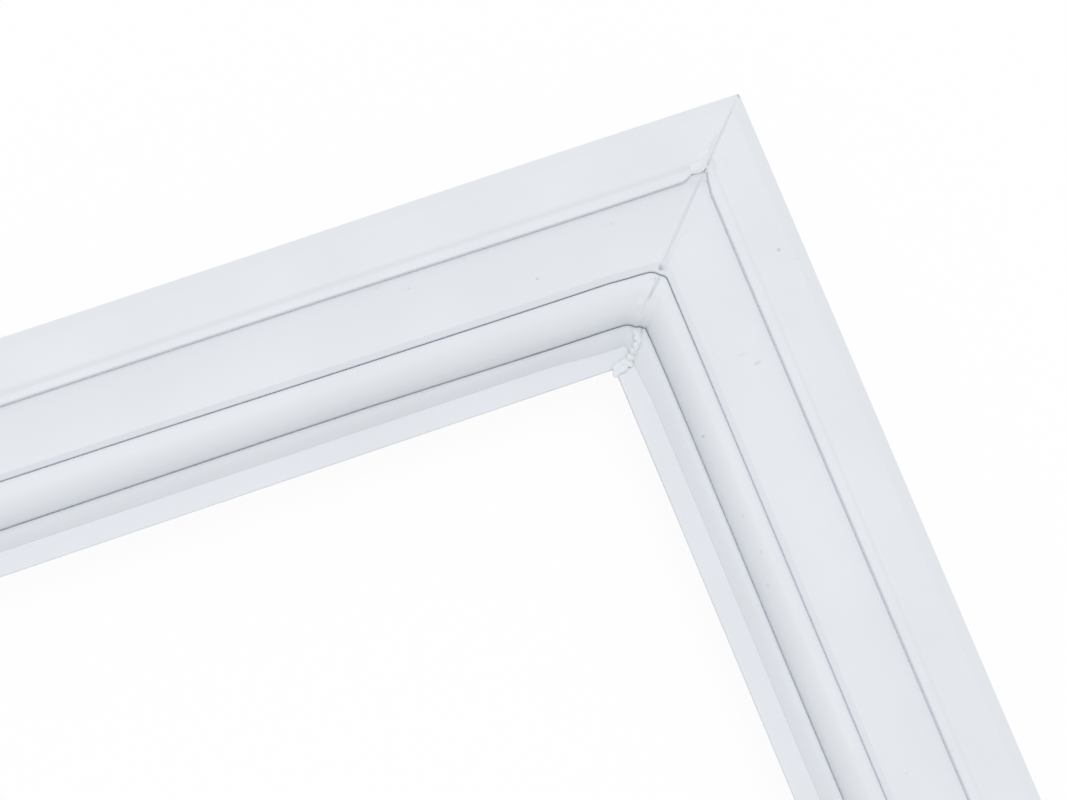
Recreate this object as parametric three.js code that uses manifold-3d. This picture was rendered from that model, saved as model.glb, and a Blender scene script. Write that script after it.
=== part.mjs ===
// Refrigerator door gasket: one welded frame of hollow soft PVC profile with four flexible magnet
// strips in its front pocket. Millimetres, +Z towards the cabinet, the push-in dart points down.
// The section is drawn in u, across the frame from its outer edge to its inner lip, and h, the height
// above the underside of the base.

import * as THREE from 'three';
import { mergeVertices } from 'three/addons/utils/BufferGeometryUtils.js';
import Module from 'manifold-3d';

// Frame
const frameWidth = 520;
const frameLength = 700;

// Walls of the profile
const skin = 0.7;
const baseThickness = 1.0;
const webThickness = 0.8;
const bandThickness = 0.8;

// Magnet pocket along the outer edge, with a shallow step beside its flat face
const faceHeight = 10.8;
const pocketDepth = 5.2;
const edgeChamferWidth = 2.65;
const edgeChamferDrop = 0.7;
const chamferRadius = 1.2;
const faceWidth = 7.85;
const stepWidth = 2.15;
const stepDrop = 0.35;
const stepRun = 0.25;
const pocketRise = 2.8;

// Magnet strips
const magnetThickness = 2.8;
const magnetClearance = 0.3;
const magnetEndGap = 3.0;

// Flat band beside the pocket
const bandWidth = 13.5;
const bandRise = 0.2;
const bandShoulderRadius = 1.35;

// Roll beside the band
const rollWidth = 6.45;
const rollDrop = 0.15;
const rollOuterRadius = 2.0;
const rollInnerRadius = 4.2;
const creaseDepth = 1.8;
const creaseWidth = 0.3;

// Slot under the roll
const rollSlotHeight = 0.75;
const rollSlotDepth = 1.1;
const rollFootRadius = 0.9;

// Bead that slopes down to a thin lip along the inner edge
const beadGap = 0.35;
const beadWidth = 3.1;
const beadHeight = 2.0;
const beadSeamRadius = 0.3;
const beadRadius = 2.2;
const beadSlopeWidth = 1.55;
const beadStepHeight = 0.4;
const lipWidth = 4.3;
const lipThickness = 0.9;
const lipTipThickness = 0.7;

// Outer bellows fold under the pocket
const bellowsSetback = 2.6;
const bellowsValleyIn = 4.4;
const bellowsValleyHeight = 4.1;
const bellowsCrestIn = 1.7;
const bellowsCrestHeight = 2.3;
const bellowsCrestRadius = 0.9;
const baseSetback = 3.8;

// Push-in dart
const dartCentre = 19.0;
const dartDepth = 7.8;
const dartStemWidth = 2.4;
const dartTipWidth = 1.3;
const upperBarbWidth = 7.2;
const upperBarbDepth = 2.1;
const lowerBarbWidth = 6.0;
const lowerBarbDepth = 4.5;
const barbHook = 0.4;
const barbTipRadius = 0.15;
const dartWaist = 0.4;

// Welded corners
const weldRidgeHeight = 0.12;
const weldRidgeHalfWidth = 0.3;
const mitreRadius = 0.2;
const rollCornerRadius = 3.0;
const lipCornerRadius = 0.6;
const cornerStations = [1.1, 2.3];

// Pin holes that let the chambers breathe
const ventDiameter = 2.0;
const ventSides = 12;
const ventOvershoot = 1.0;

// Rounded edges: degrees for each facet, with fewer facets on a small radius
const facetAngle = 22.5;
const smallFacetAngle = 45;
const smallRadius = 0.5;
const edgeRadius = 0.3;
const footRadius = 0.1;
const minRadius = 0.02;
const edgeInUse = 0.96;

const faceEndU = edgeChamferWidth + faceWidth;
const pocketWidth = faceEndU + stepWidth;
const creaseU = pocketWidth + bandWidth;
const rollEndU = creaseU + rollWidth;
const beadStartU = rollEndU + beadGap;
const lipStartU = beadStartU + beadWidth;
const sectionWidth = lipStartU + lipWidth;
const pocketUnderside = faceHeight - pocketDepth;
const stepHeight = faceHeight - stepDrop;
const bandHeight = faceHeight - pocketRise;
const shoulderHeight = bandHeight + bandRise;
const rollHeight = shoulderHeight - rollDrop;
const rollSlotCeiling = baseThickness + rollSlotHeight;

const corner = (u, h, radius = 0) => ({ u, h, radius });

// A closed outline through the corners, each rounded by an arc of its own radius. Two corners share
// the edge between them in the ratio of their radii, which limits an arc that has too little room.
function roundedOutline(corners) {
  const points = [];
  corners.forEach((current, i) => {
    const here = new THREE.Vector2(current.u, current.h);
    const before = corners[(i + corners.length - 1) % corners.length];
    const after = corners[(i + 1) % corners.length];
    const back = new THREE.Vector2(before.u, before.h).sub(here);
    const ahead = new THREE.Vector2(after.u, after.h).sub(here);
    const shareBack = current.radius / Math.max(current.radius + before.radius, minRadius);
    const shareAhead = current.radius / Math.max(current.radius + after.radius, minRadius);
    const room = edgeInUse * Math.min(back.length() * shareBack, ahead.length() * shareAhead);
    back.normalize();
    ahead.normalize();
    const halfAngle = Math.acos(THREE.MathUtils.clamp(back.dot(ahead), -1, 1)) / 2;
    const turn = Math.PI - 2 * halfAngle;
    const setback = Math.min(current.radius / Math.tan(halfAngle), room);
    const facet = current.radius < smallRadius ? smallFacetAngle : facetAngle;
    const steps = Math.ceil(THREE.MathUtils.radToDeg(turn) / facet - 0.01);
    if (setback < minRadius || steps < 1) {
      points.push(here);
      return;
    }
    const radius = setback * Math.tan(halfAngle);
    const middle = back.clone().add(ahead).normalize();
    const centre = here.clone().addScaledVector(middle, radius / Math.sin(halfAngle));
    const start = here.clone().addScaledVector(back, setback).sub(centre);
    const end = here.clone().addScaledVector(ahead, setback).sub(centre);
    const sweep = Math.atan2(start.cross(end), start.dot(end));
    for (let step = 0; step <= steps; step += 1) {
      points.push(start.clone().rotateAround(new THREE.Vector2(), (sweep * step) / steps).add(centre));
    }
  });
  return points;
}

// The inner side of an open chain of walls: each inner corner is where the chain's two edges meet
// once they are moved to its right by their own wall's thickness.
function insetChain(chain, walls, radius) {
  const inset = [];
  for (let i = 1; i < chain.length - 1; i += 1) {
    const here = new THREE.Vector2(chain[i].u, chain[i].h);
    const into = here.clone().sub(new THREE.Vector2(chain[i - 1].u, chain[i - 1].h)).normalize();
    const out = new THREE.Vector2(chain[i + 1].u, chain[i + 1].h).sub(here).normalize();
    const wallIn = walls[i - 1];
    const wallOut = walls[i];
    const turn = into.cross(out);
    const along = into.clone().multiplyScalar(wallOut).addScaledVector(out, -wallIn).divideScalar(turn);
    inset.push(corner(here.x + along.x, here.y + along.y, radius));
  }
  return inset;
}

const pocketChain = [
  corner(0, pocketUnderside, edgeRadius),
  corner(0, faceHeight - edgeChamferDrop, edgeRadius),
  corner(edgeChamferWidth, faceHeight, chamferRadius),
  corner(faceEndU, faceHeight, edgeRadius),
  corner(faceEndU + stepRun, stepHeight, footRadius),
  corner(pocketWidth, stepHeight, edgeRadius),
  corner(pocketWidth, bandHeight, footRadius),
];

const bellowsChain = [
  corner(baseSetback, 0, edgeRadius),
  corner(bellowsCrestIn, bellowsCrestHeight, bellowsCrestRadius),
  corner(bellowsValleyIn, bellowsValleyHeight, edgeRadius),
  corner(bellowsSetback, pocketUnderside, edgeRadius),
];

// Half of the dart's outline on the side of the inner lip, from the base down to the tip.
const dartHalf = [
  [dartStemWidth / 2, 0, edgeRadius],
  [dartStemWidth / 2, -upperBarbDepth - barbHook, 0],
  [upperBarbWidth / 2, -upperBarbDepth, barbTipRadius],
  [dartStemWidth / 2 + dartWaist, -lowerBarbDepth - barbHook / 2, 0],
  [lowerBarbWidth / 2, -lowerBarbDepth, barbTipRadius],
  [dartTipWidth / 2, -dartDepth, edgeRadius],
];

// The outer contour, clockwise from the pocket's underside.
function outerContour() {
  const dartRight = dartHalf.map(([du, h, radius]) => corner(dartCentre + du, h, radius));
  const dartLeft = dartHalf.map(([du, h, radius]) => corner(dartCentre - du, h, radius)).reverse();
  return roundedOutline([
    ...pocketChain,
    corner(creaseU - creaseWidth / 2, shoulderHeight, bandShoulderRadius),
    corner(creaseU, rollHeight - creaseDepth),
    corner(creaseU + creaseWidth / 2, rollHeight, rollOuterRadius),
    corner(rollEndU, rollHeight, rollInnerRadius),
    corner(rollEndU, rollSlotCeiling, rollFootRadius),
    corner(rollEndU - rollSlotDepth, rollSlotCeiling),
    corner(rollEndU - rollSlotDepth, baseThickness),
    corner(beadStartU, baseThickness, footRadius),
    corner(beadStartU, baseThickness + beadHeight, beadSeamRadius),
    corner(lipStartU - beadSlopeWidth, baseThickness + beadHeight, beadRadius),
    corner(lipStartU, lipThickness + beadStepHeight, footRadius),
    corner(lipStartU, lipThickness, footRadius),
    corner(sectionWidth, lipTipThickness, edgeRadius),
    corner(sectionWidth, 0, edgeRadius),
    ...dartRight,
    ...dartLeft,
    ...bellowsChain,
  ]);
}

const magnetU = skin + magnetClearance;
const magnetWidth = pocketWidth - 2 * magnetU;

// The pocket's hollow, with room for the magnet.
function pocketHollow() {
  const floor = pocketUnderside + skin;
  const walls = pocketChain.slice(1).map(() => skin);
  return roundedOutline([
    corner(skin, floor, edgeRadius),
    ...insetChain(pocketChain, walls, edgeRadius),
    corner(pocketWidth - skin, floor, edgeRadius),
  ]);
}

// The bellows chamber under the pocket and the band.
function bellowsHollow() {
  const skinChain = [corner(dartCentre, 0), ...bellowsChain, corner(0, pocketUnderside)];
  const skinWalls = [baseThickness, skin, skin, skin, 0];
  const ceiling = bandHeight - bandThickness;
  return roundedOutline([
    ...insetChain(skinChain, skinWalls, edgeRadius),
    corner(pocketWidth, pocketUnderside, edgeRadius),
    corner(pocketWidth + edgeRadius, ceiling, edgeRadius),
    corner(creaseU - webThickness / 2 - edgeRadius, shoulderHeight - bandThickness, bandShoulderRadius / 2),
    corner(creaseU - webThickness / 2, rollHeight - creaseDepth - webThickness / 2, edgeRadius),
    corner(creaseU - webThickness / 2, baseThickness, edgeRadius),
  ]);
}

// The roll's own chamber.
function rollHollow() {
  const start = creaseU + webThickness / 2;
  const slotWallU = rollEndU - rollSlotDepth - skin;
  return roundedOutline([
    corner(start, baseThickness, edgeRadius),
    corner(start, rollHeight - creaseDepth, edgeRadius),
    corner(start + skin / 2, rollHeight - skin, rollOuterRadius - skin),
    corner(rollEndU - skin, rollHeight - skin, rollInnerRadius - skin),
    corner(rollEndU - skin, rollSlotCeiling + skin, edgeRadius),
    corner(slotWallU, rollSlotCeiling + skin, edgeRadius),
    corner(slotWallU, baseThickness, edgeRadius),
  ]);
}

// The corner radius that a line of the profile follows round the frame, seen from the front. The
// outer bands meet in a sharp mitre and the roll bends round.
function cornerRadius(u) {
  const rise = THREE.MathUtils.smoothstep(u, creaseU - bandWidth / 2, creaseU);
  const fall = THREE.MathUtils.clamp((u - rollEndU) / (lipStartU - rollEndU), 0, 1);
  const rounded = THREE.MathUtils.lerp(mitreRadius, rollCornerRadius, rise);
  return THREE.MathUtils.lerp(rounded, lipCornerRadius, fall);
}

// Place of a section point beside one corner of the frame, a distance along the leg from the mitre.
// On the mitre itself the welded ridge stands proud of the surfaces that face up.
function cornerPoint(point, normal, signX, signY, alongX, distance) {
  const radius = cornerRadius(point.x);
  const along = radius * (1 - Math.SQRT1_2) + distance;
  const rest = Math.max(radius - along, 0);
  const cut = radius - Math.sqrt(radius * radius - rest * rest);
  const ridge = distance === 0 ? weldRidgeHeight * Math.max(normal.y, 0) ** 2 : 0;
  const insetX = point.x + (alongX ? along : cut);
  const insetY = point.x + (alongX ? cut : along);
  return new THREE.Vector3(
    signX * (frameWidth / 2 - insetX),
    signY * (frameLength / 2 - insetY),
    point.y + dartDepth + ridge,
  );
}

// A section outline carried round the four legs, with rings of points at each corner.
function sweptFrame(outline) {
  const count = outline.length;
  const normals = outline.map((point, i) => {
    const step = outline[(i + 1) % count].clone().sub(outline[(i + count - 1) % count]).normalize();
    return new THREE.Vector2(-step.y, step.x);
  });
  const distances = [weldRidgeHalfWidth, ...cornerStations];
  const rings = [];
  for (const [signX, signY] of [[1, 1], [-1, 1], [-1, -1], [1, -1]]) {
    const arrivesAlongX = signX * signY < 0;
    const ring = (alongX, distance) => outline.map((point, i) => (
      cornerPoint(point, normals[i], signX, signY, alongX, distance)));
    for (const distance of [...distances].reverse()) rings.push(ring(arrivesAlongX, distance));
    rings.push(ring(arrivesAlongX, 0));
    for (const distance of distances) rings.push(ring(!arrivesAlongX, distance));
  }
  const indices = [];
  rings.forEach((_, k) => {
    const next = (k + 1) % rings.length;
    for (let i = 0; i < count; i += 1) {
      const j = (i + 1) % count;
      indices.push(k * count + i, next * count + j, k * count + j);
      indices.push(k * count + i, next * count + i, next * count + j);
    }
  });
  const geometry = new THREE.BufferGeometry().setFromPoints(rings.flat());
  geometry.setIndex(indices);
  return geometry;
}

const wasm = await Module();
wasm.setup();

function solidOf(geometry) {
  const plain = geometry.clone();
  plain.deleteAttribute('normal');
  plain.deleteAttribute('uv');
  const merged = mergeVertices(plain, 1e-5);
  return new wasm.Manifold(new wasm.Mesh({
    numProp: 3,
    vertProperties: new Float32Array(merged.attributes.position.array),
    triVerts: new Uint32Array(merged.index.array),
  }));
}

function geometryOf(solid) {
  const mesh = solid.getMesh();
  const geometry = new THREE.BufferGeometry();
  geometry.setAttribute('position', new THREE.BufferAttribute(mesh.vertProperties, 3));
  geometry.setIndex(new THREE.BufferAttribute(mesh.triVerts, 1));
  geometry.computeVertexNormals();
  return geometry;
}

// A pin hole from under the base up to a height, on the middle of the top or the bottom leg.
function ventHole(u, topHeight, side) {
  const length = topHeight + ventOvershoot;
  const hole = new THREE.CylinderGeometry(ventDiameter / 2, ventDiameter / 2, length, ventSides);
  hole.rotateX(Math.PI / 2);
  hole.translate(0, side * (frameLength / 2 - u), dartDepth + topHeight - length / 2);
  return hole;
}

function gasketGeometry() {
  let body = solidOf(sweptFrame(outerContour()));
  for (const hollow of [pocketHollow(), bellowsHollow(), rollHollow()]) {
    body = body.subtract(solidOf(sweptFrame(hollow)));
  }
  const pocketVentU = magnetU + magnetWidth / 2;
  const rollVentU = creaseU + rollWidth / 2;
  for (const side of [1, -1]) {
    body = body.subtract(solidOf(ventHole(pocketVentU, pocketUnderside + skin + magnetClearance / 2, side)));
    body = body.subtract(solidOf(ventHole(rollVentU, baseThickness + skin, side)));
  }
  return geometryOf(body);
}

// One magnet strip as it lies along +X, cut to a mitre at both ends.
function magnetGeometry(legLength) {
  const outerHalf = legLength / 2 - magnetU - magnetEndGap;
  const innerHalf = outerHalf - magnetWidth;
  const outline = new THREE.Shape([
    new THREE.Vector2(-innerHalf, 0),
    new THREE.Vector2(innerHalf, 0),
    new THREE.Vector2(outerHalf, magnetWidth),
    new THREE.Vector2(-outerHalf, magnetWidth),
  ]);
  return new THREE.ExtrudeGeometry(outline, { depth: magnetThickness, bevelEnabled: false });
}

const pvc = new THREE.MeshStandardMaterial({ color: 0xe4e7ec, roughness: 0.42, metalness: 0 });
const ferrite = new THREE.MeshStandardMaterial({ color: 0x3a3230, roughness: 0.75, metalness: 0 });

const gasket = new THREE.Group();

const profile = new THREE.Mesh(gasketGeometry(), pvc);
profile.name = 'gasket_profile';
gasket.add(profile);

const magnetInset = magnetU + magnetWidth;
const magnetPlaces = [
  ['magnet_strip_top', frameWidth, 0, 0, frameLength / 2 - magnetInset],
  ['magnet_strip_left', frameLength, Math.PI / 2, magnetInset - frameWidth / 2, 0],
  ['magnet_strip_bottom', frameWidth, Math.PI, 0, magnetInset - frameLength / 2],
  ['magnet_strip_right', frameLength, -Math.PI / 2, frameWidth / 2 - magnetInset, 0],
];
for (const [name, legLength, turn, x, y] of magnetPlaces) {
  const magnet = new THREE.Mesh(magnetGeometry(legLength), ferrite.clone());
  magnet.name = name;
  magnet.rotation.z = turn;
  magnet.position.set(x, y, dartDepth + pocketUnderside + skin + magnetClearance);
  gasket.add(magnet);
}

export default gasket;
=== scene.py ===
"""Refrigerator door gasket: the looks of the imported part, in metres, in the part's own frame."""
import logging
import math
from collections.abc import Callable, Sequence
from dataclasses import dataclass, field
from enum import Enum

import bpy
from mathutils import Matrix, Vector, noise


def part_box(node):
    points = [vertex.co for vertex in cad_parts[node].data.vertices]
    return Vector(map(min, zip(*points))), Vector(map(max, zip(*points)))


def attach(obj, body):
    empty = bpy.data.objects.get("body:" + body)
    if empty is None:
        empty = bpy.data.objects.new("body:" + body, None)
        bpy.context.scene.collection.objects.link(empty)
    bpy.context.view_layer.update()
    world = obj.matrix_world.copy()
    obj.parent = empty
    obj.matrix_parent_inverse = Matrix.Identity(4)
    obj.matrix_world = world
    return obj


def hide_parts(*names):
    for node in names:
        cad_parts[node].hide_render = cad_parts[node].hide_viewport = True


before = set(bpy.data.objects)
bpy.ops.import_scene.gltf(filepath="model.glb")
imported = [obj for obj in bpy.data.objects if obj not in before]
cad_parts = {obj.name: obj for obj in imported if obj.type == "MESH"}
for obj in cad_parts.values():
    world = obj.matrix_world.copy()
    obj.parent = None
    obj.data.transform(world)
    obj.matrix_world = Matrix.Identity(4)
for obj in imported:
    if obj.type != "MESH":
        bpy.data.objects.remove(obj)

MM = 0.001
BODY = "root"
CUT_TOLERANCE = 1e-7
EDGE_SHARE = 0.96

Colour = tuple[float, float, float]
Spot = tuple[float, float]

log = logging.getLogger("gasket")


class Slot(Enum):
    """Material slots of the record."""

    PVC = "white_pvc"
    FERRITE = "ferrite_strip"


def smooth_step(value: float, low: float, high: float) -> float:
    """Rise smoothly from 0 at low to 1 at high."""
    share = min(max((value - low) / (high - low), 0.0), 1.0)
    return share * share * (3.0 - 2.0 * share)


def bump(value: float, centre: float, half_width: float) -> float:
    """Give a smooth bump of height 1 at the centre, which has faded out at half its width."""
    return 1.0 - smooth_step(abs(value - centre), 0.0, half_width)


def between(stations: Sequence[Spot], place: float) -> float:
    """Read a value at a place between stations, which are rising places with their values."""
    if place <= stations[0][0]:
        return stations[0][1]
    for (low, first), (high, second) in zip(stations, stations[1:]):
        if place <= high:
            return first + (second - first) * smooth_step(place, low, high)
    return stations[-1][1]


def select(*pieces: bpy.types.Object) -> None:
    """Select the pieces alone and make the first one active."""
    bpy.ops.object.select_all(action="DESELECT")
    for piece in pieces:
        piece.select_set(True)
    bpy.context.view_layer.objects.active = pieces[0]


def joined(pieces: Sequence[bpy.types.Object]) -> bpy.types.Object:
    """Join the pieces into the first one."""
    select(*pieces)
    bpy.ops.object.join()
    return bpy.context.object


def filled_outline(points: Sequence[Vector]) -> bpy.types.Object:
    """Lay out one face through points in millimetres, from a disc of as many points."""
    bpy.ops.object.select_all(action="DESELECT")
    bpy.ops.mesh.primitive_circle_add(vertices=len(points), radius=MM, fill_type="NGON")
    piece = bpy.context.object
    for vertex, point in zip(piece.data.vertices, points):
        vertex.co = point * MM
    return piece


@dataclass(frozen=True)
class Corner:
    """One corner of the section: u in from the outer edge, h up from the base, in millimetres."""

    u: float
    h: float
    radius: float = 0.0

    def place(self) -> Vector:
        """Return the corner as a vector of u and h."""
        return Vector((self.u, self.h))


@dataclass
class ProfileSection:
    """The outside of the extruded PVC profile, in millimetres, on the part's own sizes."""

    face_height: float = 10.8
    pocket_depth: float = 5.2
    chamfer_width: float = 2.65
    chamfer_drop: float = 0.7
    chamfer_radius: float = 1.2
    face_width: float = 7.85
    step_width: float = 2.15
    step_drop: float = 0.35
    step_blend: float = 0.45
    step_shift: float = 0.2
    step_radii: Spot = (2.2, 1.4)
    pocket_rise: float = 2.8
    band_width: float = 13.5
    band_rise: float = 0.2
    band_end_radius: float = 2.2
    shoulder_radius: float = 0.3
    shoulder_dip: Spot = (1.1, 0.58)
    roll_width: float = 6.45
    roll_drop: float = 0.15
    roll_outer_radius: float = 1.0
    roll_inner_radius: float = 4.2
    crease_depth: float = 1.8
    crease_width: float = 0.2
    base_thickness: float = 1.0
    bead_gap: float = 0.22
    bead_width: float = 3.23
    bead_height: float = 2.0
    bead_seam_radius: float = 0.15
    bead_radius: float = 3.0
    bead_crest: float = 1.0
    bead_slope: Spot = (1.2, 0.75)
    bead_step: float = 0.2
    seam_floor: float = 2.0
    wall_foot: float = 9.4
    wall_notch: Spot = (0.2, 0.12)
    band_sag: Spot = (19.0, 8.15)
    band_sag_radius: float = 90.0
    lip_width: float = 4.3
    lip_thickness: float = 0.9
    lip_tip: float = 0.7
    bellows_setback: float = 2.6
    bellows_valley: Spot = (4.4, 4.1)
    bellows_crest: Spot = (1.7, 2.3)
    bellows_crest_radius: float = 0.9
    base_setback: float = 3.8
    dart_centre: float = 19.0
    dart_depth: float = 7.8
    dart_stem: float = 2.4
    dart_tip: float = 1.3
    dart_waist: float = 0.4
    upper_barb: Spot = (7.2, 2.1)
    lower_barb: Spot = (6.0, 4.5)
    barb_hook: float = 0.4
    barb_radius: float = 0.15
    edge_radius: float = 0.3
    foot_radius: float = 0.1
    fine_facet: float = 9.0
    coarse_facet: float = 30.0
    front_step: float = 0.28

    @property
    def pocket_width(self) -> float:
        """Width of the magnet pocket."""
        return self.chamfer_width + self.face_width + self.step_width

    @property
    def crease_u(self) -> float:
        """Place of the crease between the band and the roll."""
        return self.pocket_width + self.band_width

    @property
    def roll_end_u(self) -> float:
        """Inner side of the roll."""
        return self.crease_u + self.roll_width

    @property
    def lip_u(self) -> float:
        """Place where the bead steps down to the lip."""
        return self.roll_end_u + self.bead_gap + self.bead_width

    @property
    def width(self) -> float:
        """Whole width of the profile."""
        return self.lip_u + self.lip_width

    @property
    def band_height(self) -> float:
        """Height of the band beside the pocket."""
        return self.face_height - self.pocket_rise

    def _front(self) -> list[Corner]:
        """Corners of the side that shows, from the pocket's underside to the lip's tip."""
        face, edge, foot = self.face_height, self.edge_radius, self.foot_radius
        step_u = self.chamfer_width + self.face_width + self.step_shift
        step = face - self.step_drop
        shoulder = self.band_height + self.band_rise
        roll = shoulder - self.roll_drop
        bead_u = self.roll_end_u + self.bead_gap
        bead_top = self.base_thickness + self.bead_height
        crease, half = self.crease_u, self.crease_width / 2
        return [
            Corner(0.0, face - self.pocket_depth, edge),
            Corner(0.0, face - self.chamfer_drop, edge),
            Corner(self.chamfer_width, face, self.chamfer_radius),
            Corner(step_u - self.step_blend, face, self.step_radii[0]),
            Corner(step_u + self.step_blend, step, self.step_radii[1]),
            Corner(self.pocket_width, step, edge),
            Corner(self.pocket_width, self.wall_foot - self.wall_notch[1]),
            Corner(self.pocket_width + self.wall_notch[0], self.wall_foot, foot),
            Corner(*self.band_sag, self.band_sag_radius),
            Corner(crease - half - self.shoulder_dip[0], shoulder, self.band_end_radius),
            Corner(crease - half, shoulder - self.shoulder_dip[1], self.shoulder_radius),
            Corner(crease, roll - self.crease_depth),
            Corner(crease + half, roll, self.roll_outer_radius),
            Corner(self.roll_end_u, roll, self.roll_inner_radius),
            Corner(self.roll_end_u, self.seam_floor),
            Corner(bead_u, self.seam_floor),
            Corner(bead_u, bead_top, self.bead_seam_radius),
            Corner(bead_u + self.bead_crest, bead_top, self.bead_radius),
            Corner(
                self.lip_u - self.bead_slope[0], bead_top - self.bead_slope[1], self.bead_radius
            ),
            Corner(self.lip_u, self.lip_thickness + self.bead_step, foot),
            Corner(self.lip_u + self.bead_step / 2, self.lip_thickness, foot),
            Corner(self.width, self.lip_tip, foot),
        ]

    def _back(self) -> list[Corner]:
        """Corners of the hidden side: the lip's underside, the dart and the bellows fold."""
        edge, half_stem = self.edge_radius, self.dart_stem / 2
        upper, lower = self.upper_barb, self.lower_barb
        half_dart = [
            (half_stem, 0.0, edge),
            (half_stem, -upper[1] - self.barb_hook, 0.0),
            (upper[0] / 2, -upper[1], self.barb_radius),
            (half_stem + self.dart_waist, -lower[1] - self.barb_hook / 2, 0.0),
            (lower[0] / 2, -lower[1], self.barb_radius),
            (self.dart_tip / 2, -self.dart_depth, edge),
        ]
        right = [Corner(self.dart_centre + du, h, r) for du, h, r in half_dart]
        left = [Corner(self.dart_centre - du, h, r) for du, h, r in reversed(half_dart)]
        return [
            Corner(self.width, 0.0, self.foot_radius),
            *right,
            *left,
            Corner(self.base_setback, 0.0, edge),
            Corner(*self.bellows_crest, self.bellows_crest_radius),
            Corner(*self.bellows_valley, edge),
            Corner(self.bellows_setback, self.face_height - self.pocket_depth, edge),
        ]

    def outline(self) -> list[Spot]:
        """Trace the outside once round, in points that are closely spaced on the front."""
        front, back = self._front(), self._back()
        corners = front + back
        points: list[Spot] = []
        for index in range(len(corners)):
            shown = index < len(front)
            facet = self.fine_facet if shown else self.coarse_facet
            step = self.front_step if shown else self.width
            arc = self._rounded(corners, index, facet, step)
            if points and shown:
                points.extend(self._between(points[-1], arc[0]))
            points.extend(arc)
        return points

    def _between(self, start: Spot, end: Spot) -> list[Spot]:
        """Points that divide a straight stretch of the front into short steps."""
        count = int(math.dist(start, end) / self.front_step)
        shares = [step / (count + 1) for step in range(1, count + 1)]
        (u, h), (end_u, end_h) = start, end
        return [(u + (end_u - u) * share, h + (end_h - h) * share) for share in shares]

    @staticmethod
    def _rounded(
        corners: Sequence[Corner], index: int, facet: float, step: float
    ) -> list[Spot]:
        """Round one corner by an arc, where two corners share an edge in the ratio of their radii.

        Args:
            corners: The closed outline.
            index: Which corner is rounded.
            facet: Most degrees for each facet of the arc.
            step: Greatest length of each facet.

        Returns:
            The points of the arc, or the corner itself where it is sharp.
        """
        this, before = corners[index], corners[index - 1]
        after = corners[(index + 1) % len(corners)]
        here = this.place()
        back, ahead = before.place() - here, after.place() - here
        if this.radius == 0:
            return [tuple(here)]
        room = EDGE_SHARE * this.radius * min(
            back.length / (this.radius + before.radius), ahead.length / (this.radius + after.radius)
        )
        back.normalize()
        ahead.normalize()
        half_angle = back.angle(ahead) / 2
        setback = min(this.radius / math.tan(half_angle), room)
        radius = setback * math.tan(half_angle)
        centre = here + (back + ahead).normalized() * (radius / math.sin(half_angle))
        start = here + back * setback - centre
        end = here + ahead * setback - centre
        sweep = math.atan2(start.cross(end), start.dot(end))
        by_angle = math.ceil(abs(math.degrees(sweep)) / facet)
        steps = max(1, by_angle, math.ceil(abs(sweep) * radius / step))
        turns = [Matrix.Rotation(sweep * step / steps, 2) for step in range(steps + 1)]
        return [tuple(centre + turn @ start) for turn in turns]


@dataclass(frozen=True)
class WeldLine:
    """A ridge or groove that the hot weld left. Its path runs through places given by their
    distances from the frame's right and top outer edges."""

    path: Sequence[Spot]
    half_width: float
    height: float
    end_height: float | None = None

    def lift(self, right: float, top: float) -> float:
        """Height of the line at a place, which is negative in a groove."""
        spot = Vector((right, top))
        nearest, share = self.half_width, 0.0
        count = len(self.path) - 1
        for index in range(max(count, 1)):
            start = Vector(self.path[index])
            run = Vector(self.path[min(index + 1, count)]) - start
            along = 0.0
            if run.length > 0:
                along = min(max((spot - start).dot(run) / run.length_squared, 0.0), 1.0)
            away = (spot - start - run * along).length
            if away < nearest:
                nearest, share = away, (index + along) / max(count, 1)
        if nearest >= self.half_width:
            return 0.0
        end = self.height if self.end_height is None else self.end_height
        return (self.height + (end - self.height) * share) * bump(nearest, 0.0, self.half_width)

    def near(self, right: float, top: float) -> bool:
        """Tell whether a place lies within the line's own box."""
        rights, tops = zip(*self.path)
        reach = self.half_width
        within = min(rights) - reach < right < max(rights) + reach
        return within and min(tops) - reach < top < max(tops) + reach


@dataclass(frozen=True)
class Drift:
    """A shift across the profile of the lines near one place, given at stations along the legs. It
    is positive towards the inside of the frame."""

    u: float
    reach: float
    stations: Sequence[Spot]

    def shift(self, u: float, t: float) -> float:
        """Shift of a point of the profile."""
        share = bump(u, self.u, self.reach)
        return share * between(self.stations, t) if share > 0 else 0.0


@dataclass(frozen=True)
class Closed:
    """How far up a narrow gap of the profile has closed, given at stations along the legs."""

    low_u: float
    high_u: float
    stations: Sequence[Spot]
    kept_depth: float = 0.06

    def height(self, u: float, h: float, t: float) -> float:
        """Height of a point, raised to a closed bottom that keeps a small share of the depth."""
        if not self.low_u < u < self.high_u:
            return h
        bottom = between(self.stations, t)
        return h if h > bottom else bottom - self.kept_depth * (bottom - h)


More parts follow.
